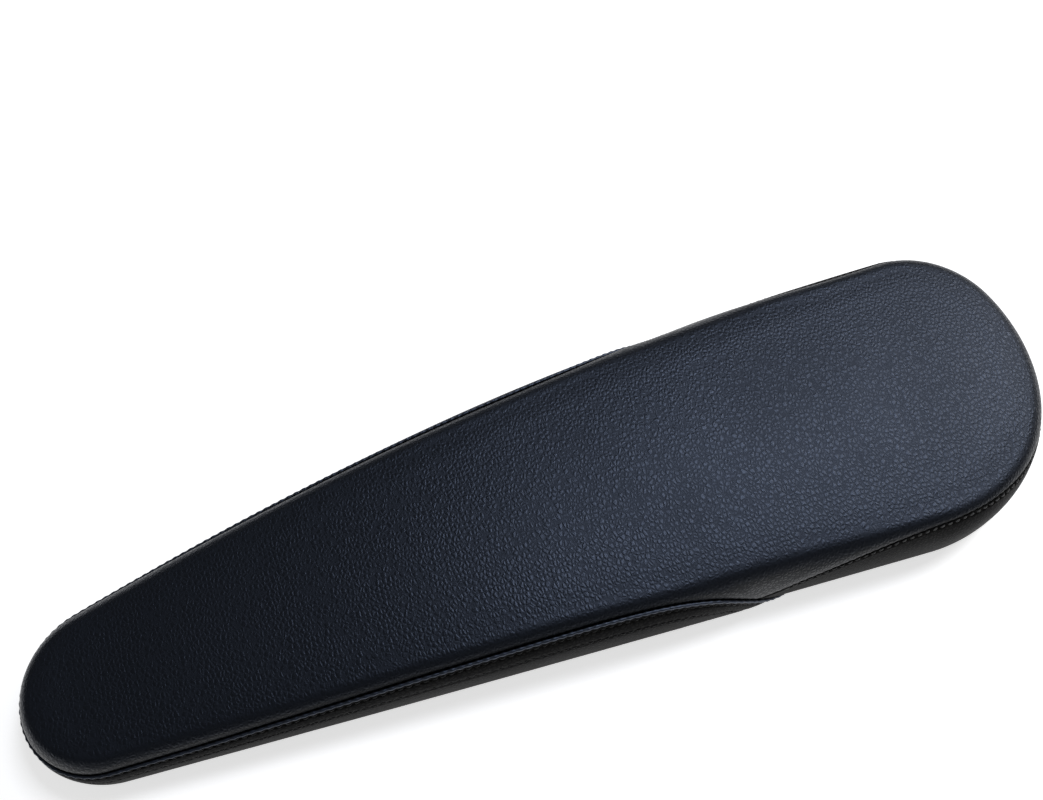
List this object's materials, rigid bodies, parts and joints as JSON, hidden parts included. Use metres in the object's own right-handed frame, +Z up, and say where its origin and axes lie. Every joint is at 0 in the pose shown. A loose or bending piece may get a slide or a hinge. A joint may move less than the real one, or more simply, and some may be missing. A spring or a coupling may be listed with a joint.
{
  "type": "chair armrest pad",
  "caption": "Tapered upholstered chair armrest pad with a sewn black leatherette cover, lapped side strip and board base with threaded inserts for bolting to a chair arm.",
  "frame": {"origin": "under the middle of the pad, on the plane of its underside", "axes": "+X along the pad towards its wide end, +Z up through the padding, +Y across the pad"},
  "size_m": [0.383, 0.113, 0.034],
  "materials": {
    "leather_top": "pebble-grained, satin",
    "leather_strip": "pebble-grained, satin",
    "leather_band": "pebble-grained, satin",
    "thread": "twisted polyester thread",
    "plywood": "sanded plywood",
    "core_foam": "moulded open-cell foam",
    "wadding": "soft fibre wadding",
    "edge_foam": "thin sheet foam",
    "zinc_steel": "zinc-plated",
    "staple_steel": "bright galvanised wire",
    "non_woven": "spun-bonded non-woven"
  },
  "bodies": {
    "root": {"top_panel": "leather_top", "wrap_strip": "leather_strip", "wide_end_band": "leather_band", "strip_upper_stitching": "thread", "strip_lower_stitching": "thread", "wide_end_stitching": "thread", "base_board": "plywood", "foam_core": "core_foam", "top_wadding": "wadding", "edge_padding": "edge_foam", "tee_nuts": "zinc_steel", "hem_staples": "staple_steel", "dust_cover_staples": "staple_steel", "dust_cover": "non_woven"}
  },
  "joints": []
}
